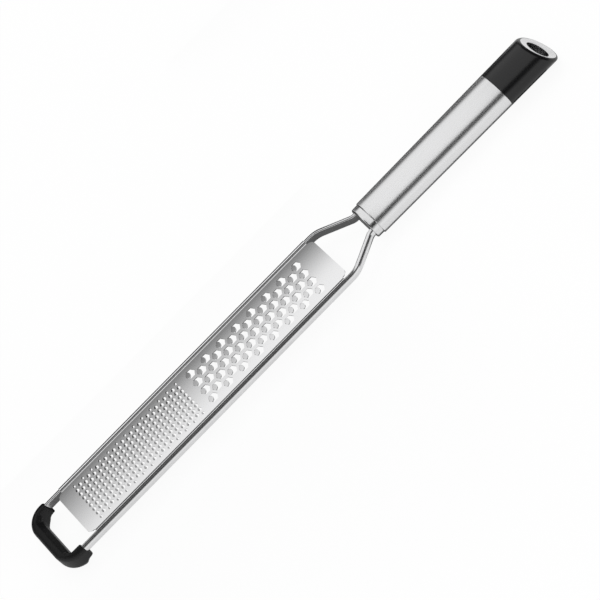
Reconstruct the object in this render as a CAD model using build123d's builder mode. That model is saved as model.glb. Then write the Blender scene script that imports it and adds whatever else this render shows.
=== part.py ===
"""Rasp zester: a long perforated steel blade whose turned edges grip the two arms of a bent
half-round bar, with a rubber foot over the bar's bend and an oval steel handle on its tangs.

X runs along the tool from the foot to the handle's end, Y across it and Z up, with the
cutting face on top. The origin is the middle of the bounding box's bottom face.
"""

import os
from math import atan2, cos, degrees, pi, radians, sin, sqrt, tan

from build123d import *

os.makedirs("parts", exist_ok=True)

# Sizes along the tool, in millimetres
TIP_TO_BLADE = 22.2
BLADE_LENGTH = 192.0
NECK_LENGTH = 25.3
FERRULE_PROUD = 4.3
TUBE_LENGTH = 95.3
CAP_LENGTH = 36.8

# The half-round bar and the way it is bent
BAR_HEIGHT = 6.0
BAR_THICKNESS = 3.0
BAR_EDGE_RADIUS = 0.8
ARM_GAP = 37.0
TANG_GAP = 14.0
TIP_BEND_RADIUS = 8.0
NECK_OUTER_RADIUS = 12.0
NECK_INNER_RADIUS = 7.0
NECK_BEND_START = 3.5
NECK_BEND_END = 2.1
TANG_LENGTH = 42.0
TANG_HOOK_LENGTH = 4.0
TANG_HOOK_TURN = 1.6
TANG_HOOK_RADIUS = 5.0

# The blade sheet, its turned edges and its free corners
SHEET = 0.5
BLADE_RISE = 2.4
FLAT_WIDTH = 34.0
CORNER_RADIUS = 3.3
HEM_SETBACK = 3.5
HEM_CLEARANCE = 0.05
HEM_VALLEY_RADIUS = 1.0
HEM_WRAP_ANGLE = 28.0

# The fine teeth, in staggered rows near the foot
FINE_FIRST_ROW = 10.5
FINE_ROW_PITCH = 3.17
FINE_PITCH = 3.5
FINE_ROWS = 25
FINE_ACROSS = 9
FINE_WIDTH = 2.6
FINE_LENGTH = 2.4
FINE_RISE = 0.45
FINE_LIP_STEPS = 2
FINE_EDGE_SCALE = 0.75

# The coarse teeth, in staggered rows near the handle
COARSE_FIRST_ROW = 96.1
COARSE_ROW_PITCH = 5.7
COARSE_PITCH = 7.65
COARSE_ROWS = 15
COARSE_ACROSS = 4
COARSE_WIDTH = 5.5
COARSE_LENGTH = 6.2
COARSE_RISE = 0.7
COARSE_LIP_STEPS = 6

# Where a tooth's corners lie ahead of its middle or behind it, as shares of its length
HOLE_SHOULDER_SHARE = 0.25
TONGUE_SIDE_SHARE = -0.11
LIP_TIP_SHARE = 0.08

# The handle: oval sections at the front of the tube and at the very end of the cap
HANDLE_FRONT_WIDTH = 23.8
HANDLE_FRONT_HEIGHT = 17.6
HANDLE_REAR_WIDTH = 26.0
HANDLE_REAR_HEIGHT = 19.2
TUBE_WALL = 1.0
FIT_CLEARANCE = 0.05
TUBE_EDGE_RADIUS = 0.7
FERRULE_INSET = 0.6
FERRULE_EDGE_RADIUS = 1.0
FERRULE_SPIGOT = 8.0
CORE_LENGTH = 48.0
CAP_SPIGOT = 14.0
CAP_SPIGOT_WALL = 2.0
CAP_EDGE_RADIUS = 0.8
REAR_FACE_TILT = 32.0

# The hanging eye in the slanted rear face
EYE_FLANGE_WIDTH = 22.2
EYE_FLANGE_HEIGHT = 19.3
EYE_WIDTH = 15.8
EYE_HEIGHT = 10.1
EYE_RIM = 0.5
EYE_FUNNEL_DEPTH = 2.2
EYE_SLEEVE_DEPTH = 5.0
EYE_WALL = 0.7

# The rubber foot
FOOT_LENGTH = 16.1
FOOT_END_SLANT = 1.6
FOOT_TIP_WALL = 1.6
FOOT_BAR_DEPTH = 7.3
FOOT_SIDE_WALL = 0.8
FOOT_INNER_WALL = 0.9
FOOT_TOP_WALL = 0.9
FOOT_SLEEVE_WALL = 1.8
FOOT_OUTER_RADIUS = 12.2
FOOT_TOP_EDGE_RADIUS = 3.2
FOOT_PAD_EDGE_RADIUS = 4.2
FOOT_PAD_LENGTH = 8.9
FOOT_RAMP_LENGTH = 3.7
FOOT_RAMP_RISE = 4.2
FOOT_RAMP_START_RADIUS = 5.0
FOOT_RAMP_END_RADIUS = 3.0
FOOT_WINDOW_RADIUS = 3.0
FOOT_FACET_WIDTH = 2.6
FOOT_FACET_HEIGHT = 4.5
FOOT_FACET_RADIUS = 5.0
FOOT_RIM_RADIUS = 1.2

OVERRUN = 5.0

# Stations along X
TOTAL_LENGTH = (
    TIP_TO_BLADE + BLADE_LENGTH + NECK_LENGTH + FERRULE_PROUD + TUBE_LENGTH + CAP_LENGTH
)
tip_x = -TOTAL_LENGTH / 2
blade_x = tip_x + TIP_TO_BLADE
blade_end_x = blade_x + BLADE_LENGTH
ferrule_x = blade_end_x + NECK_LENGTH
tube_x = ferrule_x + FERRULE_PROUD
cap_x = tube_x + TUBE_LENGTH
end_x = cap_x + CAP_LENGTH

# Heights: the handle and the foot both reach down to Z 0, and the arms lie on the handle's axis
axis_z = HANDLE_REAR_HEIGHT / 2
arm_y = ARM_GAP / 2
tang_y = TANG_GAP / 2
blade_top = axis_z + BLADE_RISE
blade_bottom = blade_top - SHEET


def oval(x, inset=0):
    """Half width and half height of the handle's oval at x, an inset inside its surface."""
    share = (x - tube_x) / (end_x - tube_x)
    width = HANDLE_FRONT_WIDTH + share * (HANDLE_REAR_WIDTH - HANDLE_FRONT_WIDTH)
    height = HANDLE_FRONT_HEIGHT + share * (HANDLE_REAR_HEIGHT - HANDLE_FRONT_HEIGHT)
    return width / 2 - inset, height / 2 - inset


def across_plane(x):
    """Plane square to the tool at x, its origin on the handle's axis, Y to the right and Z up."""
    return Plane(origin=(x, 0, axis_z), x_dir=(0, 1, 0), z_dir=(1, 0, 0))


# The frame is one bar bent into a long bow, whose two tangs hook inwards inside the handle
bow_x = tip_x + FOOT_TIP_WALL + BAR_THICKNESS
neck_out_x = blade_end_x + NECK_BEND_START
neck_in_x = ferrule_x - NECK_BEND_END
hook_x = ferrule_x + TANG_LENGTH
half_bow = [
    (hook_x + TANG_HOOK_LENGTH, tang_y - TANG_HOOK_TURN),
    (hook_x, tang_y),
    (neck_in_x, tang_y),
    (neck_out_x, arm_y),
    (bow_x, arm_y),
]
other_half = [(x, -y) for x, y in reversed(half_bow)]
bend_radii = [TANG_HOOK_RADIUS, NECK_INNER_RADIUS, NECK_OUTER_RADIUS, TIP_BEND_RADIUS]

with BuildPart() as frame:
    with BuildLine(Plane.XY.offset(axis_z)) as bow:
        FilletPolyline(*half_bow, *other_half, radius=bend_radii + bend_radii[::-1])
    bow_start = bow.line @ 0
    bow_along = bow.line % 0
    outward = Vector(0, 0, -1).cross(bow_along)
    with BuildSketch(Plane(bow_start, x_dir=outward, z_dir=bow_along)) as bar:
        with BuildLine():
            flat = Line((0, -BAR_HEIGHT / 2), (0, BAR_HEIGHT / 2))
            ThreePointArc(flat @ 1, (BAR_THICKNESS, 0), flat @ 0)
        make_face()
        fillet(bar.vertices(), radius=BAR_EDGE_RADIUS)
    sweep(path=bow.line)
frame.part.label = "frame"
export_step(frame.part, "parts/frame.step")

# The turned edge of the blade leaves the flat in a valley bend, climbs the arm's inner side
# and follows the arm's eased edge and then its round back. All centres are from the axis.
sheet_middle = BLADE_RISE - SHEET / 2
back_radius = (BAR_HEIGHT**2 / 4 + BAR_THICKNESS**2) / (2 * BAR_THICKNESS)
back_y = arm_y + BAR_THICKNESS - back_radius
ease_y = arm_y + BAR_EDGE_RADIUS
ease_z = sqrt((back_radius - BAR_EDGE_RADIUS) ** 2 - (ease_y - back_y) ** 2)
ease_bend = BAR_EDGE_RADIUS + HEM_CLEARANCE + SHEET / 2
back_bend = back_radius + HEM_CLEARANCE + SHEET / 2
valley_z = sheet_middle + HEM_VALLEY_RADIUS
valley_y = ease_y - sqrt((HEM_VALLEY_RADIUS + ease_bend) ** 2 - (valley_z - ease_z) ** 2)
climb_angle = degrees(atan2(ease_z - valley_z, ease_y - valley_y))
back_angle = degrees(atan2(ease_z, ease_y - back_y))


def hem_face(offset):
    """One face of the sheet from its middle to its cut edge, offset from the sheet's middle."""
    level = sheet_middle + offset
    Line((0, level), (valley_y, level))
    valley = CenterArc((valley_y, valley_z), HEM_VALLEY_RADIUS - offset, -90, climb_angle + 90)
    CenterArc((ease_y, ease_z), ease_bend + offset, climb_angle + 180, back_angle - climb_angle - 180)
    back = CenterArc((back_y, 0), back_bend + offset, back_angle, 90 - HEM_WRAP_ANGLE - back_angle)
    return back @ 1


def hole_corners(length, width):
    """Outline of a tooth's opening: pointed to the handle, and to the foot where its tongue roots."""
    half = [
        (HOLE_SHOULDER_SHARE * length, width / 2),
        (TONGUE_SIDE_SHARE * length, width / 2),
    ]
    other = [(x, -y) for x, y in reversed(half)]
    return [(length / 2, 0), *half, (-length / 2, 0), *other]


def lip_corners(length, width, rise, steps):
    """Corners of a tongue's raised cutting lip, from one side of the opening to the other."""
    side = TONGUE_SIDE_SHARE * length
    reach = LIP_TIP_SHARE * length - side
    turns = [pi * step / steps for step in range(steps + 1)]
    return [(side + reach * sin(t), width / 2 * cos(t), rise * sin(t)) for t in turns]


def tongue(length, width, rise, steps):
    """A tooth's tongue: the sheet in its opening, raised as a fan of facets from its root."""
    root = (-length / 2, 0, 0)
    lip = lip_corners(length, width, rise, steps)
    with BuildPart() as raised:
        for corner, following in zip(lip, lip[1:]):
            facet = Face(Wire.make_polygon([root, corner, following]))
            extrude(facet, amount=SHEET, dir=(0, 0, -1))
    return raised.part


hem_x = blade_x + HEM_SETBACK
hem_length = BLADE_LENGTH - 2 * HEM_SETBACK
blade_middle_x = blade_x + BLADE_LENGTH / 2
fine_middle_x = blade_x + FINE_FIRST_ROW + (FINE_ROWS - 1) / 2 * FINE_ROW_PITCH
coarse_middle_x = blade_x + COARSE_FIRST_ROW + (COARSE_ROWS - 1) / 2 * COARSE_ROW_PITCH
fine_wide_rows = (FINE_ROWS + 1) // 2
coarse_wide_rows = (COARSE_ROWS + 1) // 2
fine_edge_pitch = FINE_PITCH * (FINE_ACROSS - 1)

fine_wide = (2 * FINE_ROW_PITCH, FINE_PITCH, fine_wide_rows, FINE_ACROSS - 2)
fine_narrow = (2 * FINE_ROW_PITCH, FINE_PITCH, FINE_ROWS - fine_wide_rows, FINE_ACROSS - 1)
fine_edge = (2 * FINE_ROW_PITCH, fine_edge_pitch, fine_wide_rows, 2)
coarse_wide = (2 * COARSE_ROW_PITCH, COARSE_PITCH, coarse_wide_rows, COARSE_ACROSS)
coarse_narrow = (
    2 * COARSE_ROW_PITCH, COARSE_PITCH, COARSE_ROWS - coarse_wide_rows, COARSE_ACROSS - 1
)
fine_tooth = (FINE_LENGTH, FINE_WIDTH, FINE_RISE, FINE_LIP_STEPS)
edge_tooth = (
    FINE_EDGE_SCALE * FINE_LENGTH,
    FINE_EDGE_SCALE * FINE_WIDTH,
    FINE_EDGE_SCALE * FINE_RISE,
    FINE_LIP_STEPS,
)
coarse_tooth = (COARSE_LENGTH, COARSE_WIDTH, COARSE_RISE, COARSE_LIP_STEPS)
tooth_fields = [
    (fine_middle_x, fine_wide, fine_tooth),
    (fine_middle_x, fine_narrow, fine_tooth),
    (fine_middle_x, fine_edge, edge_tooth),
    (coarse_middle_x, coarse_wide, coarse_tooth),
    (coarse_middle_x, coarse_narrow, coarse_tooth),
]

# The blade is one sheet: flat between the arms, turned over them, punched and raised in teeth
with BuildPart() as blade:
    with BuildSketch(across_plane(hem_x)):
        with BuildLine():
            top_end = hem_face(SHEET / 2)
            bottom_end = hem_face(-SHEET / 2)
            Line(top_end, bottom_end)
            Line((0, BLADE_RISE), (0, BLADE_RISE - SHEET))
        make_face()
        mirror(about=Plane.YZ)
    extrude(amount=hem_length)
    with BuildSketch(Plane((blade_middle_x, 0, blade_bottom))):
        RectangleRounded(BLADE_LENGTH, FLAT_WIDTH, CORNER_RADIUS)
    extrude(amount=SHEET)
    with BuildSketch(Plane.XY.offset(blade_top)):
        for middle_x, grid, tooth in tooth_fields:
            with Locations((middle_x, 0)):
                with GridLocations(*grid):
                    Polygon(*hole_corners(tooth[0], tooth[1]), align=None)
    extrude(amount=-SHEET, mode=Mode.SUBTRACT, clean=False)
    raised_teeth = []
    for middle_x, grid, tooth in tooth_fields:
        raised = tongue(*tooth)
        field = Location((middle_x, 0, blade_top))
        raised_teeth += [raised.moved(field * place) for place in GridLocations(*grid)]
    add(raised_teeth, clean=False)
blade.part.label = "blade"
export_step(blade.part, "parts/blade.step")

# The foot is a rubber sleeve moulded over the bar's bend, deeper under the bend as a pad that
# ramps up to the two sleeve ends. Its window's wall slants back on the bend's side.
foot_end_x = tip_x + FOOT_LENGTH
foot_bar_x = tip_x + FOOT_BAR_DEPTH
foot_inner_y = arm_y - FOOT_INNER_WALL
foot_outer_y = arm_y + BAR_THICKNESS + FOOT_SIDE_WALL
foot_top = axis_z + BAR_HEIGHT / 2 + FOOT_TOP_WALL
sleeve_bottom = axis_z - BAR_HEIGHT / 2 - FOOT_SLEEVE_WALL
facet_x = foot_bar_x - FOOT_FACET_WIDTH
facet_z = foot_top - FOOT_FACET_HEIGHT
ramp_x = tip_x + FOOT_PAD_LENGTH
ramp_end_x = ramp_x + FOOT_RAMP_LENGTH
foot_side_view = [
    (tip_x - OVERRUN, 0),
    (ramp_x, 0),
    (ramp_end_x, FOOT_RAMP_RISE),
    (foot_end_x, sleeve_bottom),
    (foot_end_x - FOOT_END_SLANT, foot_top),
    (tip_x - OVERRUN, foot_top),
]


def round_ended(x, z, half_width, corner_radius):
    """Outline at height z that starts at x with two round corners and runs on past the foot."""
    with BuildSketch(Plane.XY.offset(z)) as outline:
        with Locations((x, 0)):
            Rectangle(FOOT_LENGTH + OVERRUN, 2 * half_width, align=(Align.MIN, Align.CENTER))
        fillet(outline.vertices().group_by(Axis.X)[0], radius=corner_radius)
    return outline.sketch


def outlines_foot(edge):
    """Whether an edge of the foot's blank runs round its outside, not across its open end."""
    return edge.center().X < foot_end_x


with BuildPart() as foot:
    extrude(round_ended(tip_x, 0, foot_outer_y, FOOT_OUTER_RADIUS), amount=foot_top)
    top_outline = foot.faces().sort_by(Axis.Z)[-1].edges().filter_by(outlines_foot)
    fillet(top_outline, radius=FOOT_TOP_EDGE_RADIUS)
    pad_outline = foot.faces().sort_by(Axis.Z)[0].edges().filter_by(outlines_foot)
    fillet(pad_outline, radius=FOOT_PAD_EDGE_RADIUS)
    with BuildSketch(Plane.XZ.offset(-foot_outer_y)) as side_view:
        Polygon(*foot_side_view, align=None)
        ramp_start = side_view.vertices().sort_by_distance((ramp_x, 0))[0]
        fillet(ramp_start, radius=FOOT_RAMP_START_RADIUS)
        ramp_end = side_view.vertices().sort_by_distance((ramp_end_x, FOOT_RAMP_RISE))[0]
        fillet(ramp_end, radius=FOOT_RAMP_END_RADIUS)
    extrude(amount=2 * foot_outer_y, mode=Mode.INTERSECT)
    upright_wall = round_ended(foot_bar_x, 0, foot_inner_y, FOOT_WINDOW_RADIUS)
    extrude(upright_wall, amount=foot_top, mode=Mode.SUBTRACT)
    facet_foot = round_ended(foot_bar_x, facet_z, foot_inner_y, FOOT_WINDOW_RADIUS)
    facet_head = round_ended(facet_x, foot_top, foot_inner_y, FOOT_FACET_RADIUS)
    loft([facet_foot, facet_head], mode=Mode.SUBTRACT)
    window_rim = foot.edges(Select.LAST).group_by(Axis.Z)[-1]
    fillet(window_rim, radius=FOOT_RIM_RADIUS)
    add(frame.part, mode=Mode.SUBTRACT)
foot.part.label = "foot"
export_step(foot.part, "parts/foot.step")

# The handle's tube tapers from front to rear, its front edge rounded over the ferrule
with BuildPart() as handle_tube:
    for x in (tube_x, cap_x):
        with BuildSketch(across_plane(x)):
            Ellipse(*oval(x))
    loft()
    fillet(handle_tube.edges().group_by(Axis.X)[0], radius=TUBE_EDGE_RADIUS)
    for x in (tube_x, cap_x):
        with BuildSketch(across_plane(x)):
            Ellipse(*oval(x, TUBE_WALL))
    loft(mode=Mode.SUBTRACT)
handle_tube.part.label = "handle_tube"
export_step(handle_tube.part, "parts/handle_tube.step")

# The ferrule is an oval steel plug, proud of the tube, through which the tangs pass
spigot_inset = TUBE_WALL + FIT_CLEARANCE
spigot_end_x = tube_x + FERRULE_SPIGOT
with BuildPart() as ferrule:
    with BuildSketch(across_plane(ferrule_x)):
        Ellipse(*oval(tube_x, FERRULE_INSET))
    extrude(amount=FERRULE_PROUD)
    fillet(ferrule.edges().group_by(Axis.X)[0], radius=FERRULE_EDGE_RADIUS)
    for x in (tube_x, spigot_end_x):
        with BuildSketch(across_plane(x)):
            Ellipse(*oval(x, spigot_inset))
    loft()
    add(frame.part, mode=Mode.SUBTRACT)
ferrule.part.label = "ferrule"
export_step(ferrule.part, "parts/ferrule.step")

# The core is moulded round the hooked tangs and fills the front of the tube behind the ferrule
with BuildPart() as tang_core:
    for x in (spigot_end_x, spigot_end_x + CORE_LENGTH):
        with BuildSketch(across_plane(x)):
            Ellipse(*oval(x, spigot_inset))
    loft()
    add(frame.part, mode=Mode.SUBTRACT)
tang_core.part.label = "tang_core"
export_step(tang_core.part, "parts/tang_core.step")

# The rear face of the cap leans back, and the eye's axis stands square to it. The lower corner
# would reach a little past the cap's end if it were sharp, and its rounding ends at the cap's end.
face_tilt = radians(REAR_FACE_TILT)
corner_half_angle = (pi / 2 - face_tilt) / 2
sharp_end_x = end_x + CAP_EDGE_RADIUS / tan(corner_half_angle) - CAP_EDGE_RADIUS
face_x = sharp_end_x - axis_z * tan(face_tilt)
face_plane = Plane(
    origin=(face_x, 0, axis_z), x_dir=(0, 1, 0), z_dir=(cos(face_tilt), 0, sin(face_tilt))
)
flange = (EYE_FLANGE_WIDTH / 2, EYE_FLANGE_HEIGHT / 2)
eye = (EYE_WIDTH / 2, EYE_HEIGHT / 2)
eye_sleeve = (eye[0] + EYE_WALL, eye[1] + EYE_WALL)
eye_mouth = (flange[0] - EYE_RIM, flange[1] - EYE_RIM)
sleeve_start = EYE_FUNNEL_DEPTH + EYE_RIM
sleeve_end = EYE_FUNNEL_DEPTH + EYE_SLEEVE_DEPTH

with BuildPart() as end_cap:
    for x in (cap_x, sharp_end_x + OVERRUN):
        with BuildSketch(across_plane(x)):
            Ellipse(*oval(x))
    loft()
    split(bisect_by=face_plane, keep=Keep.BOTTOM)
    rear_face = end_cap.faces().sort_by(Axis.X)[-1]
    fillet(rear_face.edges(), radius=CAP_EDGE_RADIUS)
    for x in (cap_x - CAP_SPIGOT, cap_x):
        with BuildSketch(across_plane(x)):
            Ellipse(*oval(x, spigot_inset))
    loft()
    for x in (cap_x - CAP_SPIGOT, cap_x):
        with BuildSketch(across_plane(x)):
            Ellipse(*oval(x, spigot_inset + CAP_SPIGOT_WALL))
    loft(mode=Mode.SUBTRACT)
    with BuildSketch(face_plane):
        Ellipse(*flange)
    with BuildSketch(face_plane.offset(-sleeve_start)):
        Ellipse(*eye_sleeve)
    loft(mode=Mode.SUBTRACT)
    with BuildSketch(face_plane.offset(-sleeve_end)):
        Ellipse(*eye_sleeve)
    extrude(amount=sleeve_end - sleeve_start, mode=Mode.SUBTRACT)
    with BuildSketch(face_plane.offset(-sleeve_end)):
        Ellipse(*eye)
    extrude(amount=-CAP_LENGTH, mode=Mode.SUBTRACT)
end_cap.part.label = "end_cap"
export_step(end_cap.part, "parts/end_cap.step")

# The hanging eye is a pressed steel liner: a wide funnel that runs into a short oval sleeve
with BuildPart() as hanging_eyelet:
    with BuildSketch(face_plane):
        Ellipse(*flange)
    with BuildSketch(face_plane.offset(-sleeve_start)):
        Ellipse(*eye_sleeve)
    loft()
    with BuildSketch(face_plane.offset(-sleeve_end)):
        Ellipse(*eye_sleeve)
    extrude(amount=sleeve_end - sleeve_start)
    with BuildSketch(face_plane):
        Ellipse(*eye_mouth)
    with BuildSketch(face_plane.offset(-EYE_FUNNEL_DEPTH)):
        Ellipse(*eye)
    loft(mode=Mode.SUBTRACT)
    with BuildSketch(face_plane.offset(-sleeve_end)):
        Ellipse(*eye)
    extrude(amount=EYE_SLEEVE_DEPTH, mode=Mode.SUBTRACT)
hanging_eyelet.part.label = "hanging_eyelet"
export_step(hanging_eyelet.part, "parts/hanging_eyelet.step")
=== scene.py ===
"""A rasp zester: a punched steel blade on a bent half-round bar, a rubber foot and an oval handle.

Sizes are in metres. X runs along the tool from the foot to the handle's end and Z is up.
"""

from math import atan2, cos, hypot, pi, radians, sin, sqrt, tan

import bmesh
import bpy
from mathutils import Matrix, Vector


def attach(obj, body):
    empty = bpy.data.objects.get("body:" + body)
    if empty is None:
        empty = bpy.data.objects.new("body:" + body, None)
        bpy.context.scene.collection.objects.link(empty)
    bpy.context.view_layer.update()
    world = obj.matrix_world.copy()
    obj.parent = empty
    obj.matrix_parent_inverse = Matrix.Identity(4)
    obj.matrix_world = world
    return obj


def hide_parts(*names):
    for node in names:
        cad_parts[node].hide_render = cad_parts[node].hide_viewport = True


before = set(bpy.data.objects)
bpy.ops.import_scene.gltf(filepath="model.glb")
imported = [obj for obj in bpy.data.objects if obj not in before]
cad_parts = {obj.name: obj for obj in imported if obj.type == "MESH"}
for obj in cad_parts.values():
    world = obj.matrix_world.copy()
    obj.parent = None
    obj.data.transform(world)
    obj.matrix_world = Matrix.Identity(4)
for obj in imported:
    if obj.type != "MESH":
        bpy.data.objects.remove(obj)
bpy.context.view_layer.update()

# The bent bar. One length of half-round stainless rod is bent cold into a long bow, whose two
# ends close in behind the blade and run into the handle. It is polished all over.
axis_z = 0.0096
bar_radius = 0.003
bar_ease = 0.0008
arm_y = 0.0185
tang_y = 0.007
bow_x = -0.18335
tip_bend = 0.008
ease_turns = (85, 105, 125, 145, 165)

# A bend of the neck or the hook is the X at which its straights would meet, and its radius.
neck_out = (0.02975, 0.012)
neck_in = (0.04945, 0.007)
hook = (0.09355, 0.005)
hook_reach = (0.004, 0.0016)

# Points closer together than the weld are one, and a face or edge this close to a place is there.
weld = 0.000001


def close_piece():
    """Leave the piece that is open for editing, if there is one."""
    if bpy.context.mode != "OBJECT":
        bpy.ops.object.mode_set(mode="OBJECT")


def start_piece(name, add, **size):
    """Add a primitive with nothing else selected, fix its place and open it for editing."""
    close_piece()
    bpy.ops.object.select_all(action="DESELECT")
    add(**size)
    piece = bpy.context.object
    piece.name = piece.data.name = name
    bpy.ops.object.transform_apply(location=True, rotation=True, scale=True)
    bpy.ops.object.mode_set(mode="EDIT")
    return piece


def pick(kind, wanted):
    """Select the open piece's verts, edges or faces whose middles pass a test."""
    bpy.ops.mesh.select_mode(type={"verts": "VERT", "edges": "EDGE", "faces": "FACE"}[kind])
    bpy.ops.mesh.select_all(action="DESELECT")
    mesh = bmesh.from_edit_mesh(bpy.context.object.data)
    for item in getattr(mesh, kind):
        corners = [item] if kind == "verts" else item.verts
        item.select_set(wanted(sum((corner.co for corner in corners), Vector()) / len(corners)))
    mesh.select_flush_mode()
    bmesh.update_edit_mesh(bpy.context.object.data)


def slice_off(point, outward, fill=False):
    """Cut the open piece at a plane and throw away what lies outside it."""
    bpy.ops.mesh.select_all(action="SELECT")
    bpy.ops.mesh.bisect(
        plane_co=point, plane_no=outward, clear_outer=True, use_fill=fill, threshold=weld / 10
    )


def pull(*way):
    """Extrude what is selected by a step."""
    bpy.ops.mesh.extrude_region_move(TRANSFORM_OT_translate={"value": way})


def bend(middle, angle, steps):
    """Sweep what is selected round an upright axis, clockwise from above if angle is positive."""
    bpy.ops.mesh.spin(steps=steps, angle=abs(angle), center=(*middle, axis_z),
                      axis=(0, 0, 1 if angle > 0 else -1))


def modify(piece, kind, **settings):
    """Give a piece one modifier and apply it."""
    close_piece()
    bpy.context.view_layer.objects.active = piece
    modifier = piece.modifiers.new(kind.lower(), kind)
    for setting, value in settings.items():
        setattr(modifier, setting, value)
    bpy.ops.object.modifier_apply(modifier=modifier.name)


def finish_piece(piece, material, slot, *nodes, smooth=30):
    """Smooth and dress a piece, and let it stand for its CAD nodes on the tool's body."""
    close_piece()
    bpy.ops.object.select_all(action="DESELECT")
    piece.select_set(True)
    bpy.context.view_layer.objects.active = piece
    bpy.ops.object.shade_smooth_by_angle(angle=radians(smooth))
    piece.data.materials.clear()
    piece.data.materials.append(material)
    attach(piece, "root")
    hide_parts(*nodes)


def recalculate():
    """Merge doubled vertices of the open piece and turn all its faces outwards."""
    bpy.ops.mesh.select_all(action="SELECT")
    bpy.ops.mesh.remove_doubles(threshold=weld)
    bpy.ops.mesh.normals_make_consistent(inside=False)


def new_material(name, colour, roughness, metallic=0.0, gloss=0.5):
    """A material with its shader's plain values set, gloss being the strength of its highlights."""
    material = bpy.data.materials.new(name)
    material.use_nodes = True
    shader = material.node_tree.nodes["Principled BSDF"]
    shader.inputs["Base Color"].default_value = (*colour, 1)
    shader.inputs["Roughness"].default_value = roughness
    shader.inputs["Metallic"].default_value = metallic
    shader.inputs["Specular IOR Level"].default_value = gloss
    return material


def grain(material, size, detail=3.0, squeeze=(1, 1, 1)):
    """A noise texture in the piece's own coordinates, squeezed or, under 1, drawn out on an axis."""
    nodes, links = material.node_tree.nodes, material.node_tree.links
    place = nodes.new("ShaderNodeTexCoord")
    mapping = nodes.new("ShaderNodeMapping")
    mapping.inputs["Scale"].default_value = squeeze
    noise = nodes.new("ShaderNodeTexNoise")
    noise.inputs["Scale"].default_value = 1 / size
    noise.inputs["Detail"].default_value = detail
    links.new(place.outputs["Object"], mapping.inputs["Vector"])
    links.new(mapping.outputs["Vector"], noise.inputs["Vector"])
    return noise.outputs["Fac"]


def vary_roughness(material, source, change):
    """Let a grain move the roughness up and down from its plain value."""
    nodes, links = material.node_tree.nodes, material.node_tree.links
    roughness = nodes["Principled BSDF"].inputs["Roughness"]
    ranged = nodes.new("ShaderNodeMapRange")
    ranged.inputs["From Min"].default_value = 0.25
    ranged.inputs["From Max"].default_value = 0.75
    ranged.inputs["To Min"].default_value = roughness.default_value - change
    ranged.inputs["To Max"].default_value = roughness.default_value + change
    links.new(source, ranged.inputs["Value"])
    links.new(ranged.outputs["Result"], roughness)


def vary_colour(material, source, change):
    """Let a grain move the colour darker and lighter than its plain value."""
    nodes, links = material.node_tree.nodes, material.node_tree.links
    colour = nodes["Principled BSDF"].inputs["Base Color"]
    ramp = nodes.new("ShaderNodeValToRGB")
    dark, light = ramp.color_ramp.elements
    dark.position, light.position = 0.3, 0.7
    dark.color = (*(share - change for share in colour.default_value[:3]), 1)
    light.color = (*(share + change for share in colour.default_value[:3]), 1)
    links.new(source, ramp.inputs["Fac"])
    links.new(ramp.outputs["Color"], colour)


def rough_up(material, source, height, strength):
    """Raise a grain as a fine relief."""
    nodes, links = material.node_tree.nodes, material.node_tree.links
    bump = nodes.new("ShaderNodeBump")
    bump.inputs["Strength"].default_value = strength
    bump.inputs["Distance"].default_value = height
    links.new(source, bump.inputs["Height"])
    links.new(bump.outputs["Normal"], nodes["Principled BSDF"].inputs["Normal"])


neck_turn = atan2(arm_y - tang_y, neck_in[0] - neck_out[0])
hook_turn = atan2(hook_reach[1], hook_reach[0])
out_start = neck_out[0] - neck_out[1] * tan(neck_turn / 2)
in_end = neck_in[0] + neck_in[1] * tan(neck_turn / 2)
hook_start = hook[0] - hook[1] * tan(hook_turn / 2)
slope_length = hypot(neck_in[0] - neck_out[0], arm_y - tang_y)
slope_length -= (neck_out[1] + neck_in[1]) * tan(neck_turn / 2)
hook_length = hypot(*hook_reach) - hook[1] * tan(hook_turn / 2)

bow = start_piece("bar_bow", bpy.ops.mesh.primitive_circle_add, vertices=64, radius=bar_radius,
                  fill_type="NGON", location=(bow_x, 0, axis_z), rotation=(pi / 2, 0, 0))
slice_off((bow_x, 0, axis_z), (1, 0, 0))
ease_z = sqrt((bar_radius - bar_ease) ** 2 - bar_ease**2)
for side in (1, -1):
    for turn in ease_turns:
        out = Vector((-cos(radians(turn)), 0, side * sin(radians(turn))))
        slice_off(Vector((bow_x - bar_ease, 0, axis_z + side * ease_z)) + bar_ease * out, out)
bpy.ops.mesh.select_all(action="SELECT")
pull(0, arm_y - tip_bend, 0)
bend((bow_x + tip_bend, arm_y - tip_bend), pi / 2, 20)
pull(out_start - bow_x - tip_bend, 0, 0)
bend((out_start, arm_y - neck_out[1]), neck_turn, 12)
pull(slope_length * cos(neck_turn), -slope_length * sin(neck_turn), 0)
bend((in_end, tang_y + neck_in[1]), -neck_turn, 10)
pull(hook_start - in_end, 0, 0)
bend((hook_start, tang_y - hook[1]), hook_turn, 5)
pull(hook_length * cos(hook_turn), -hook_length * sin(hook_turn), 0)
pick("faces", lambda m: abs(m.y) < weld)
bpy.ops.mesh.delete(type="FACE")
recalculate()
modify(bow, "MIRROR", use_axis=(False, True, False), use_mirror_merge=True, merge_threshold=weld)

polished_steel = new_material("polished_steel", (0.77, 0.77, 0.775), 0.205, metallic=1.0)
polish = grain(polished_steel, size=0.00018)
vary_roughness(polished_steel, polish, 0.035)
clouds = grain(polished_steel, size=0.011)
vary_colour(polished_steel, clouds, 0.03)
rough_up(polished_steel, polish, height=0.000001, strength=0.3)
finish_piece(bow, polished_steel, "frame_steel", "frame")

# The blade. One sheet of stainless steel is punched with a fine and a coarse field of teeth, each
# a tongue raised from its own opening, and its long edges are turned up and over the bar's arms.
sheet = 0.0005
blade_top = 0.012
blade_start, blade_end = -0.16575, 0.02625
half_flat = 0.017
corner = 0.0033
hem_setback = 0.0035
valley_radius = 0.001
hem_gap = 0.00005
wrap_end = radians(62)

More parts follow.
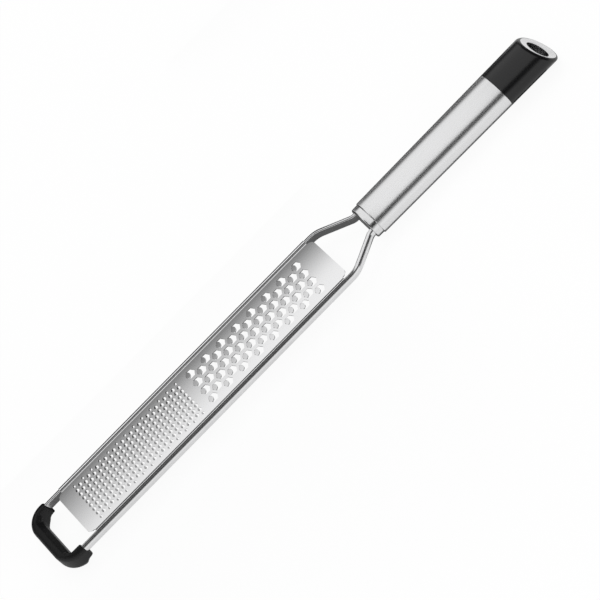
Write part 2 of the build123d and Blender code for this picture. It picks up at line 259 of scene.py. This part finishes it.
blade_middle = (blade_start + blade_end) / 2
middle_z = blade_top - sheet / 2
ease_y = arm_y + bar_ease
over_ease = bar_ease + hem_gap + sheet / 2
valley_z = middle_z - axis_z + valley_radius
valley_y = ease_y - sqrt((valley_radius + over_ease) ** 2 - (valley_z - ease_z) ** 2)
climb = atan2(valley_z - ease_z, ease_y - valley_y)
back_turn = atan2(ease_z, bar_ease)


def stretch(middle, *scale):
    """Scale what is selected about a point."""
    bpy.ops.transform.resize(value=scale, center_override=middle)


def turn_edge(y, z, angle, steps):
    """Sweep the selected edge round an axis along the tool, upwards if the angle is positive."""
    bpy.ops.mesh.spin(steps=steps, angle=abs(angle), center=(0, y, axis_z + z),
                      axis=(-1 if angle > 0 else 1, 0, 0))


half_middle = (blade_middle, half_flat / 2, middle_z)
blade = start_piece("blade_sheet", bpy.ops.mesh.primitive_plane_add, size=1, location=half_middle)
stretch(half_middle, blade_end - blade_start, half_flat, 1)
pick("verts", lambda m: m.y > half_flat / 2)
bpy.ops.mesh.bevel(offset=corner, segments=8, affect="VERTICES")
for x in (blade_start + hem_setback, blade_end - hem_setback):
    bpy.ops.mesh.select_all(action="SELECT")
    bpy.ops.mesh.bisect(plane_co=(x, 0, 0), plane_no=(1, 0, 0))
pick("edges", lambda m: m.y > half_flat - weld and abs(m.x - blade_middle) < hem_setback)
pull(0, valley_y - half_flat, 0)
turn_edge(valley_y, valley_z, pi / 2 - climb, 6)
turn_edge(ease_y, ease_z, -(pi - climb - back_turn), 9)
turn_edge(arm_y, 0, -(back_turn - wrap_end), 2)
recalculate()
modify(blade, "MIRROR", use_axis=(False, True, False), use_mirror_merge=True,
       merge_threshold=weld)
modify(blade, "SOLIDIFY", thickness=sheet, offset=0)

# The fine field's outermost teeth are smaller. A tooth has a length, a width and a rise, and a
# field its first row, row pitch and row count, pitch and count across, and a tooth.
fine_tooth = (0.0024, 0.0026, 0.00045)
edge_tooth = (0.0018, 0.00195, 0.00034)
coarse_tooth = (0.0062, 0.0055, 0.0007)
fine_first, fine_pitch, fine_across = 0.0105, 0.00634, 0.0035
coarse_first, coarse_pitch, coarse_across = 0.0961, 0.0114, 0.00765
tooth_fields = [
    (fine_first, fine_pitch, 13, fine_across, 7, fine_tooth),
    (fine_first + fine_pitch / 2, fine_pitch, 12, fine_across, 8, fine_tooth),
    (fine_first, fine_pitch, 13, 8 * fine_across, 2, edge_tooth),
    (coarse_first, coarse_pitch, 8, coarse_across, 4, coarse_tooth),
    (coarse_first + coarse_pitch / 2, coarse_pitch, 7, coarse_across, 3, coarse_tooth),
]

# Shares of a tooth's length, its width and the sheet's thickness.
root_shift = 0.03
tongue_root, tongue_half = 0.47, 0.24
tongue_half_width = 0.39
tongue_thickness, tongue_ease = 0.9, 0.3


def repeat(piece, row_pitch, rows, pitch, across):
    """Copy a tooth or its opening over a field."""
    modify(piece, "ARRAY", count=rows, use_relative_offset=False, use_constant_offset=True,
           constant_offset_displace=(row_pitch, 0, 0))
    modify(piece, "ARRAY", count=across, use_relative_offset=False, use_constant_offset=True,
           constant_offset_displace=(0, pitch, 0))


def join(pieces, name):
    """Join pieces into the first one."""
    bpy.ops.object.select_all(action="DESELECT")
    for piece in pieces:
        piece.select_set(True)
    bpy.context.view_layer.objects.active = pieces[0]
    bpy.ops.object.join()
    pieces[0].name = pieces[0].data.name = name
    return pieces[0]


punches, tongues = [], []
for first, row_pitch, rows, pitch, across, (length, width, rise) in tooth_fields:
    x, y = blade_start + first, -(across - 1) / 2 * pitch
    punch = start_piece("punch", bpy.ops.mesh.primitive_cylinder_add, vertices=6,
                        radius=length / 2, depth=4 * sheet, location=(x, y, middle_z),
                        rotation=(0, 0, pi / 2))
    stretch((x, y, middle_z), 1, width / (length * cos(pi / 6)), 1)
    corner_x = x - length / 4
    pick("verts", lambda m: abs(m.x - corner_x) < weld)
    bpy.ops.transform.translate(value=(root_shift * length, 0, 0))
    repeat(punch, row_pitch, rows, pitch, across)
    punches.append(punch)

    half_tongue, root = tongue_half * length, x - tongue_root * length
    middle = (root + half_tongue, y, middle_z)
    tongue = start_piece("tongue", bpy.ops.mesh.primitive_cylinder_add, vertices=24,
                         radius=half_tongue, depth=tongue_thickness * sheet, location=middle)
    stretch(middle, 1, tongue_half_width * width / half_tongue, 1)
    pick("faces", lambda m: m.z > middle_z + sheet / 4)
    bpy.ops.mesh.bevel(offset=tongue_ease * sheet, segments=2, affect="EDGES")
    close_piece()
    for vertex in tongue.data.vertices:
        vertex.co.z += rise * (vertex.co.x - root) / (2 * half_tongue)
    repeat(tongue, row_pitch, rows, pitch, across)
    tongues.append(tongue)
punch = join(punches, "punch")
modify(blade, "BOOLEAN", operation="DIFFERENCE", solver="EXACT", object=punch)
bpy.data.objects.remove(punch)
blade = join([blade, *tongues], "blade_sheet")

sheet_steel = new_material("satin_sheet_steel", (0.865, 0.865, 0.87), 0.135, metallic=1.0)
satin = grain(sheet_steel, size=0.00012)
vary_roughness(sheet_steel, satin, 0.025)
vary_colour(sheet_steel, satin, 0.035)
rough_up(sheet_steel, satin, height=0.0000015, strength=0.5)
finish_piece(blade, sheet_steel, "blade_steel", "blade", smooth=15)

# The foot. A black rubber sleeve is moulded over the bow at the tip, deeper under it as a pad
# that stands on the plate. Its inner top edge is cut away in a facet.
rubber_grid = 0.0003
rubber_passes = 9

# A corner patch lies along the facet. It has a distance from the bend's axis, a height and its
# three half sizes: across the facet, up it and square to it.
facet_slope = radians(70)
patch_out, patch_z = 0.0081, 0.0112
patch_reach = (0.0044, 0.0024, 0.0009)


def corner_patch(side):
    """A patch of rubber that covers the bar's inner edge in one of the foot's round corners."""
    patch = start_piece("corner_patch", bpy.ops.mesh.primitive_uv_sphere_add, segments=32,
                        ring_count=16, radius=1)
    close_piece()
    outward = Vector((-1, side, 0)).normalized()
    uphill = outward * cos(facet_slope) + Vector((0, 0, sin(facet_slope)))
    square = Vector((0, 0, cos(facet_slope))) - outward * sin(facet_slope)
    across = uphill.cross(square)
    axes = [axis * reach for axis, reach in zip((across, uphill, square), patch_reach)]
    bend_axis = Vector((bow_x + tip_bend, side * (arm_y - tip_bend), patch_z))
    patch.data.transform(Matrix.Translation(bend_axis + outward * patch_out)
                         @ Matrix(axes).transposed().to_4x4())
    return patch


def soften(name, node, grid, passes, extras):
    """A merged copy of a CAD node, joined with extras, remeshed on a fine grid and smoothed."""
    bpy.ops.object.select_all(action="DESELECT")
    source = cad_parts[node]
    piece = bpy.data.objects.new(name, source.data.copy())
    bpy.context.scene.collection.objects.link(piece)
    piece.data.name = name
    piece.select_set(True)
    bpy.context.view_layer.objects.active = piece
    bpy.ops.object.mode_set(mode="EDIT")
    recalculate()
    close_piece()
    piece = join([piece, *extras], name)
    modify(piece, "REMESH", mode="VOXEL", voxel_size=grid, adaptivity=0.0)
    modify(piece, "SMOOTH", factor=0.5, iterations=passes)
    return piece


patches = [corner_patch(side) for side in (1, -1)]
foot = soften("foot_rubber", "foot", rubber_grid, rubber_passes, patches)
rubber = new_material("black_rubber", (0.007, 0.007, 0.0075), 0.51, gloss=0.35)
pores = grain(rubber, size=0.00025)
vary_roughness(rubber, pores, 0.05)
rough_up(rubber, pores, height=0.000005, strength=0.4)
finish_piece(foot, rubber, "foot_rubber", "foot", smooth=60)

# The ferrule. An oval stainless plug closes the front of the handle's tube and stands a little
# proud of it, and the bar's two ends pass through it. It is turned, milled and polished.
handle_x, cap_x, end_x = 0.05585, 0.15115, 0.18795
ferrule_x = 0.05155
ferrule_inset = 0.0006
ferrule_edge = 0.001
ferrule_spigot = 0.008
tube_wall = 0.001
spigot_play = 0.00005

# Every oval, here and in the cap, is half its width and half its height.
front_oval = Vector((0.0119, 0.0088))
rear_oval = Vector((0.013, 0.0096))


def oval(x, inset=0):
    """Half width and half height of the handle at x, an inset inside its surface."""
    size = front_oval.lerp(rear_oval, (x - handle_x) / (end_x - handle_x))
    return size.x - inset, size.y - inset


def start_oval(name, x, length, inset, fill="NGON"):
    """An oval column along the tool from x, its far end tapered as the handle is."""
    piece = start_piece(name, bpy.ops.mesh.primitive_cylinder_add, vertices=128, radius=1,
                        depth=length, end_fill_type=fill, location=(x + length / 2, 0, axis_z),
                        rotation=(0, pi / 2, 0))
    for station in (x, x + length):
        pick("verts", lambda m: abs(m.x - station) < length / 4)
        stretch((station, 0, axis_z), 1, *oval(station, inset))
    return piece


def add_spigot(x, inset, reach):
    """Draw the selected end face, an inset inside the handle, in to the tube's bore and along."""
    pull(0, 0, 0)
    inner, outer = oval(x, tube_wall + spigot_play), oval(x, inset)
    stretch((x, 0, axis_z), 1, inner[0] / outer[0], inner[1] / outer[1])
    pull(reach, 0, 0)


ferrule = start_oval("ferrule_plug", ferrule_x, handle_x - ferrule_x, ferrule_inset)
pick("faces", lambda m: m.x > handle_x - weld)
add_spigot(handle_x, ferrule_inset, ferrule_spigot)
pick("edges", lambda m: m.x < ferrule_x + weld)
bpy.ops.mesh.bevel(offset=ferrule_edge, segments=6, affect="EDGES")
recalculate()
finish_piece(ferrule, polished_steel, "ferrule_steel", "ferrule")

# The handle's tube. Oval stainless tube that widens towards the cap, brushed along its length,
# with its front edge rolled in over the ferrule.
front_roll, rear_ease = 0.0007, 0.0002


def ease_outer_rim(x, width, segments):
    """Bevel the tube's outer edge at x."""
    half_width, half_height = oval(x)
    pick("edges", lambda m: abs(m.x - x) < 10 * weld
         and (m.y / half_width) ** 2 + ((m.z - axis_z) / half_height) ** 2 > 0.99)
    bpy.ops.mesh.bevel(offset=width, segments=segments, affect="EDGES")


tube = start_oval("handle_tube_shell", handle_x, cap_x - handle_x, 0, "NOTHING")
recalculate()
modify(tube, "SOLIDIFY", thickness=tube_wall, offset=-1)
bpy.ops.object.mode_set(mode="EDIT")
ease_outer_rim(handle_x, front_roll, 6)
ease_outer_rim(cap_x, rear_ease, 2)

brushed_steel = new_material("brushed_handle_steel", (0.795, 0.795, 0.8), 0.265, metallic=1.0)
brush = grain(brushed_steel, size=0.00016, detail=4.0, squeeze=(0.012, 1, 1))
vary_roughness(brushed_steel, brush, 0.025)
vary_colour(brushed_steel, brush, 0.025)
rough_up(brushed_steel, brush, height=0.000001, strength=0.25)
finish_piece(tube, brushed_steel, "handle_steel", "handle_tube")

# The core. Grey plastic, moulded round the hooked ends of the bar and out of sight inside the
# tube, so it is the CAD solid itself, dressed.
core_plastic = new_material("core_plastic", (0.3, 0.3, 0.3), 0.6)
moulding = grain(core_plastic, size=0.001)
vary_roughness(core_plastic, moulding, 0.1)
vary_colour(core_plastic, moulding, 0.03)
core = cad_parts["tang_core"]
core.data.materials.clear()
core.data.materials.append(core_plastic)

# The cap. Black plastic, pushed into the tube on a spigot. Its end is cut at a slant, and the
# hanging eye runs in square to that slanted face and out under the cap.
face_tilt = radians(32)
cap_edge = 0.0008
cap_rim_bevel = 0.0017
cap_overrun = 0.003
cap_spigot = 0.014
spigot_bore_shares = (0.82, 0.75)
sharp_end = end_x + cap_edge / tan((pi / 2 - face_tilt) / 2) - cap_edge
face_middle = Vector((sharp_end - axis_z * tan(face_tilt), 0, axis_z))
face_out = Vector((cos(face_tilt), 0, sin(face_tilt)))
flange = (0.0111, 0.00965)
eye = (0.0079, 0.00505)
funnel_depth = 0.0008
sleeve_depth = 0.0064
eye_wall = 0.0007
rim = 0.0005
pocket_lift = 0.001
pocket_margin = (0.0005, 0.001)
eye_run = 0.04

cap = start_oval("cap_body", cap_x, sharp_end + cap_overrun - cap_x, 0)
slice_off(face_middle, face_out, fill=True)
pick("edges", lambda m: abs((m - face_middle).dot(face_out)) < 10 * weld)
bpy.ops.mesh.bevel(offset=cap_rim_bevel, segments=8, affect="EDGES")
pick("faces", lambda m: m.x < cap_x + weld)
add_spigot(cap_x, 0, -cap_spigot)
pull(0, 0, 0)
stretch((cap_x - cap_spigot, 0, axis_z), 1, *spigot_bore_shares)
pull(cap_spigot, 0, 0)
recalculate()


def lay_oval(name, depth, size, fill="NGON"):
    """An oval ring or disc in the slanted face's plane, sunk into it by a depth."""
    piece = start_piece(name, bpy.ops.mesh.primitive_circle_add, vertices=96, radius=1,
                        fill_type=fill, location=(0, 0, -depth))
    bpy.ops.mesh.select_mode(type="FACE" if fill == "NGON" else "EDGE")
    bpy.ops.mesh.select_all(action="SELECT")
    stretch((0, 0, -depth), size[1], size[0], 1)
    return piece


def sink(start_size, end_size, start_depth, end_depth):
    """Draw the selected oval down to a new depth and size."""
    pull(0, 0, start_depth - end_depth)
    stretch((0, 0, -end_depth), end_size[1] / start_size[1], end_size[0] / start_size[0], 1)


def seat(piece):
    """Turn a piece made flat into the slanted face and fix it there."""
    close_piece()
    turn = Matrix.Rotation(pi / 2 - face_tilt, 4, "Y")
    piece.data.transform(Matrix.Translation(face_middle) @ turn)


sleeve = (eye[0] + eye_wall, eye[1] + eye_wall)
sleeve_end = funnel_depth + sleeve_depth
above = (flange[0] + pocket_margin[0], flange[1] + pocket_margin[1])
pocket = lay_oval("pocket", -pocket_lift, above)
sink(above, flange, -pocket_lift, 0)
sink(flange, sleeve, 0, funnel_depth + rim)
sink(sleeve, sleeve, funnel_depth + rim, sleeve_end)
sink(sleeve, eye, sleeve_end, sleeve_end)
sink(eye, eye, sleeve_end, eye_run)
recalculate()
seat(pocket)
modify(cap, "BOOLEAN", operation="DIFFERENCE", solver="EXACT", object=pocket)
bpy.data.objects.remove(pocket)

black_plastic = new_material("black_plastic", (0.006, 0.006, 0.0065), 0.25, gloss=0.42)
texture = grain(black_plastic, size=0.0003)
vary_roughness(black_plastic, texture, 0.05)
rough_up(black_plastic, texture, height=0.000002, strength=0.4)
finish_piece(cap, black_plastic, "cap_plastic", "end_cap")

# The hanging eye's liner. A pressed steel funnel with a polished rim, which runs into a short
# oval sleeve and is held in the cap's slanted face.
liner = lay_oval("eye_liner", 0, flange, "NOTHING")
mouth = (flange[0] - rim, flange[1] - rim)
sink(flange, mouth, 0, 0)
sink(mouth, eye, 0, funnel_depth)
sink(eye, eye, funnel_depth, sleeve_end)
recalculate()
seat(liner)
modify(liner, "SOLIDIFY", thickness=eye_wall, offset=-1)
finish_piece(liner, polished_steel, "eyelet_steel", "hanging_eyelet", smooth=40)

# The floor. A plain white table, which the camera sees as white paper that keeps a little of the
# tool's shadow.
floor_size, floor_drop = 6, 0.0002
paper_glow = 1.03
camera_share, mirror_share = 0.9, 0.6


def calculate(tree, operation, *terms):
    """The output of a new math node that works on numbers and on other nodes' outputs."""
    node = tree.nodes.new("ShaderNodeMath")
    node.operation = operation
    for socket, term in zip(node.inputs, terms):
        if isinstance(term, float):
            socket.default_value = term
        else:
            tree.links.new(term, socket)
    return node.outputs[0]


def mirror_rays(tree, path):
    """1 where a mirror-like or clear surface looks, and 0 elsewhere."""
    glossy, through = path.outputs["Is Glossy Ray"], path.outputs["Is Transmission Ray"]
    return calculate(tree, "MAXIMUM", glossy, through)


bpy.ops.object.select_all(action="DESELECT")
bpy.ops.mesh.primitive_plane_add(size=floor_size, location=(0, 0, -floor_drop))
floor = bpy.context.object
floor.name = floor.data.name = "floor"
paper = new_material("white_paper", (0.85, 0.85, 0.85), 0.9)
tree = paper.node_tree
path = tree.nodes.new("ShaderNodeLightPath")
glow = tree.nodes.new("ShaderNodeEmission")
glow.inputs["Strength"].default_value = paper_glow
blended = tree.nodes.new("ShaderNodeMixShader")
mirrored = calculate(tree, "MULTIPLY", mirror_rays(tree, path), mirror_share)
seen = calculate(tree, "MULTIPLY_ADD", path.outputs["Is Camera Ray"], camera_share, mirrored)
tree.links.new(seen, blended.inputs["Fac"])
tree.links.new(tree.nodes["Principled BSDF"].outputs["BSDF"], blended.inputs[1])
tree.links.new(glow.outputs["Emission"], blended.inputs[2])
tree.links.new(blended.outputs["Shader"], tree.nodes["Material Output"].inputs["Surface"])
floor.data.materials.append(paper)

# The light. A white room, a broad lamp over the far side and a low one in front, and six dark
# cards that only mirror-like surfaces see: beside, behind, over and under the tool. The card under
# the tool is painted shade, standing in for the tool's shadow on the floor.
mirrored_white, lit_white = 1.22, 0.6

world = bpy.data.worlds.new("white_room")
bpy.context.scene.world = world
world.use_nodes = True
tree = world.node_tree
path = tree.nodes.new("ShaderNodeLightPath")
white = tree.nodes.new("ShaderNodeBackground")
white.inputs["Strength"].default_value = mirrored_white
lit = tree.nodes["Background"]
lit.inputs["Color"].default_value = (1, 1, 1, 1)
lit.inputs["Strength"].default_value = lit_white
room = tree.nodes.new("ShaderNodeMixShader")
watched = calculate(tree, "MAXIMUM", mirror_rays(tree, path), path.outputs["Is Camera Ray"])
tree.links.new(watched, room.inputs["Fac"])
tree.links.new(lit.outputs["Background"], room.inputs[1])
tree.links.new(white.outputs["Background"], room.inputs[2])
tree.links.new(room.outputs["Shader"], tree.nodes["World Output"].inputs["Surface"])


def add_lamp(name, place, size, power):
    """A soft area lamp that points at the tool's middle and shows in no mirror-like surface."""
    lamp = bpy.data.lights.new(name, "AREA")
    lamp.shape = "RECTANGLE"
    lamp.size, lamp.size_y = size
    lamp.energy = power
    holder = bpy.data.objects.new(name, lamp)
    holder.location = place
    holder.visible_glossy = False
    holder.rotation_euler = (-holder.location).to_track_quat("-Z", "Y").to_euler()
    bpy.context.scene.collection.objects.link(holder)


def card_paint(name, shade, fade_from):
    """A plain dark paint that fades out along the card's height from a share of it."""
    paint = bpy.data.materials.new(name)
    paint.use_nodes = True
    nodes, links = paint.node_tree.nodes, paint.node_tree.links
    nodes.remove(nodes["Principled BSDF"])
    dark = nodes.new("ShaderNodeEmission")
    dark.inputs["Color"].default_value = (shade, shade, shade, 1)
    clear = nodes.new("ShaderNodeBsdfTransparent")
    fade = nodes.new("ShaderNodeMixShader")
    uv = nodes.new("ShaderNodeTexCoord")
    split = nodes.new("ShaderNodeSeparateXYZ")
    edge = nodes.new("ShaderNodeMapRange")
    edge.inputs["From Min"].default_value = fade_from
    edge.inputs["From Max"].default_value = 1.0
    links.new(uv.outputs["UV"], split.inputs[0])
    links.new(split.outputs["Y"], edge.inputs["Value"])
    links.new(edge.outputs["Result"], fade.inputs["Fac"])
    links.new(dark.outputs["Emission"], fade.inputs[1])
    links.new(clear.outputs["BSDF"], fade.inputs[2])
    links.new(fade.outputs["Shader"], nodes["Material Output"].inputs["Surface"])
    return paint


def add_card(name, shade, fade_from, corners, shadow=True):
    """A dark card that only mirror-like surfaces see, and that fades out to its last corners."""
    mesh = bpy.data.meshes.new(f"{name}_card")
    mesh.from_pydata(corners, [], [(0, 1, 2, 3)])
    layer = mesh.uv_layers.new(name="card")
    for loop, place in zip(layer.data, ((0, 0), (1, 0), (1, 1), (0, 1))):
        loop.uv = place
    card = bpy.data.objects.new(f"{name}_card", mesh)
    bpy.context.scene.collection.objects.link(card)
    mesh.materials.append(card_paint(f"{name}_paint", shade, fade_from))
    card.visible_camera = card.visible_diffuse = card.visible_transmission = False
    card.visible_shadow = shadow


def upright(start, end, y, start_height, end_height):
    """The corners of a card that stands along the tool at y, lower or higher at its end."""
    return [(start, y, 0), (end, y, 0), (end, y, end_height), (start, y, start_height)]


def between(start, end, y, z, far_y, far_z):
    """The corners of a card that runs from one line along the tool to another."""
    return [(start, y, z), (end, y, z), (end, far_y, far_z), (start, far_y, far_z)]


neck_x = 0.045
end_stand, end_half, end_height = 0.45, 0.4, 0.5

add_lamp("far_lamp", place=(0, 0.35, 0.95), size=(0.9, 0.6), power=2.2)
add_lamp("front_lamp", place=(0.1, -1.1, 0.45), size=(1.0, 0.4), power=2.0)
add_card("side", shade=0.03, fade_from=0.6, corners=upright(-0.7, neck_x, 0.06, 0.15, 0.088))
add_card("far", shade=0.05, fade_from=0.5, corners=upright(neck_x, 0.6, 0.2, 0.11, 0.11))
add_card("end", shade=0.03, fade_from=0.7, corners=[
    (end_stand, -end_half, 0), (end_stand, end_half, 0),
    (end_stand, end_half, end_height), (end_stand, -end_half, end_height),
])
add_card("over", shade=0.02, fade_from=0.6, corners=between(-0.6, 0.6, -0.19, 0.34, -0.36, 0.17))
add_card("low", shade=0.07, fade_from=0.15, corners=between(-0.3, neck_x, 0.008, 0.072, -0.2, 0.072))
# Painted shade: a dark sheet on the floor under and behind the tool, which mirror-like surfaces see
# in place of the tool's shadow there.
add_card("floor", shade=0.12, fade_from=0.9, corners=between(-0.173, 0.178, -0.014, 0, 0.16, 0),
         shadow=False)

# The camera, where the photographer stood: on the near side, looking down across the tool, with
# the tool laid corner to corner in the picture.
tilt, lean = radians(41), radians(1.4)
roll_along, roll_down = 0.7016, 0.7125
distance, focal_length = 1.8196, 207
toward_lens = Vector((-sin(lean), -sin(tilt) * cos(lean), cos(tilt) * cos(lean)))
along = (Vector((1, 0, 0)) - toward_lens * toward_lens.x).normalized()
down = -toward_lens.cross(along)
picture_right = along * roll_along + down * roll_down
picture_up = along * roll_down - down * roll_along
target = Vector((-0.00115, -0.00496, axis_z))
place = target + toward_lens * distance
lens = bpy.data.cameras.new("camera")
lens.lens = focal_length
lens.clip_start, lens.clip_end = 0.1, 20
camera = bpy.data.objects.new("camera", lens)
camera.matrix_world = Matrix((
    (picture_right.x, picture_up.x, toward_lens.x, place.x),
    (picture_right.y, picture_up.y, toward_lens.y, place.y),
    (picture_right.z, picture_up.z, toward_lens.z, place.z),
    (0, 0, 0, 1),
))
bpy.context.scene.collection.objects.link(camera)
bpy.context.scene.camera = camera
bpy.context.scene.view_settings.view_transform = "Standard"
